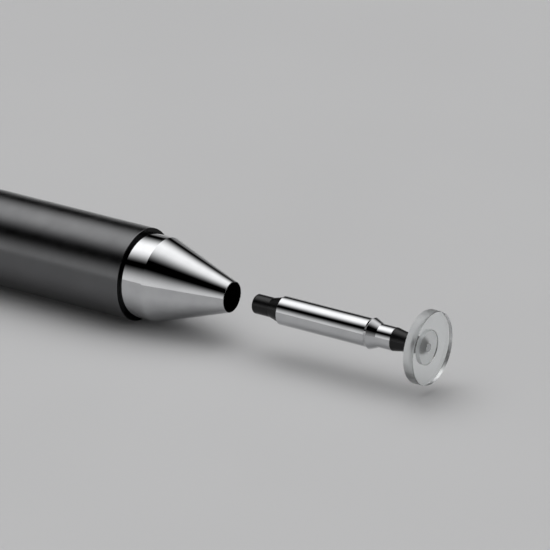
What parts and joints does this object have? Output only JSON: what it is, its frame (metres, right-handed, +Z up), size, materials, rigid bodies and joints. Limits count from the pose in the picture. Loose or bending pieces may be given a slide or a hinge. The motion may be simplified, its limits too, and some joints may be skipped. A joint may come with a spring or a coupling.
{
  "type": "disc stylus pen",
  "caption": "Disc-tip stylus pen: satin black tube barrel, chrome cone nose, pull-out tip cartridge with a clear disc on a ball joint, and a spring clip at the rear.",
  "frame": {"origin": "centre of the nose's mouth, on the pen's axis", "axes": "+X along the pen towards the tip, +Z up as the pen lies on a table"},
  "size_m": [0.1553, 0.0118, 0.009],
  "materials": {
    "satin_black": "satin black anodised",
    "bright_chrome": "mirror polished",
    "black_plastic": "fine moulded",
    "black_rubber": "smooth",
    "white_nylon": "moulded",
    "polished_steel": "ground and polished",
    "spring_steel": "drawn wire",
    "turned_brass": "turned",
    "clear_plastic": "polished, clear"
  },
  "bodies": {
    "pen": {"barrel": "satin_black", "nose_cone": "bright_chrome", "grip_o_ring": "black_rubber", "tip_socket": "black_plastic", "rear_bush": "turned_brass", "clip_ring": "bright_chrome", "end_cap": "bright_chrome"},
    "clip": {"clip_blade": "bright_chrome"},
    "cartridge": {"stem_sleeve": "bright_chrome", "grip_plug": "black_plastic", "ball_housing": "black_plastic", "contact_plunger": "turned_brass", "preload_spring": "spring_steel"},
    "seat": {"ball_seat": "white_nylon"},
    "pivot": {"pivot_ball": "polished_steel"},
    "disc": {"disc": "clear_plastic"}
  },
  "joints": [
    {"name": "tip_pull", "type": "slide", "parent": "pen", "child": "cartridge", "axis": [1, 0, 0], "range_m": [-0.01535, 0.02]},
    {"name": "disc_pitch", "type": "hinge", "parent": "cartridge", "child": "seat", "pos_m": [0.01972, 0, 0], "axis": [0, 1, 0], "range_deg": [-22, 22]},
    {"name": "disc_yaw", "type": "hinge", "parent": "seat", "child": "pivot", "pos_m": [0.01972, 0, 0], "axis": [0, 0, 1], "range_deg": [-22, 22]},
    {"name": "disc_spin", "type": "hinge", "parent": "pivot", "child": "disc", "pos_m": [0.01972, 0, 0], "axis": [1, 0, 0], "continuous": true},
    {"name": "clip_flex", "type": "hinge", "parent": "pen", "child": "clip", "pos_m": [-0.1261, 0.00658, -0.00292], "axis": [0, 0.4049, 0.9143], "range_deg": [0, 5], "stiffness_Nm_per_rad": 0.625, "springref_deg": -1.72}
  ]
}
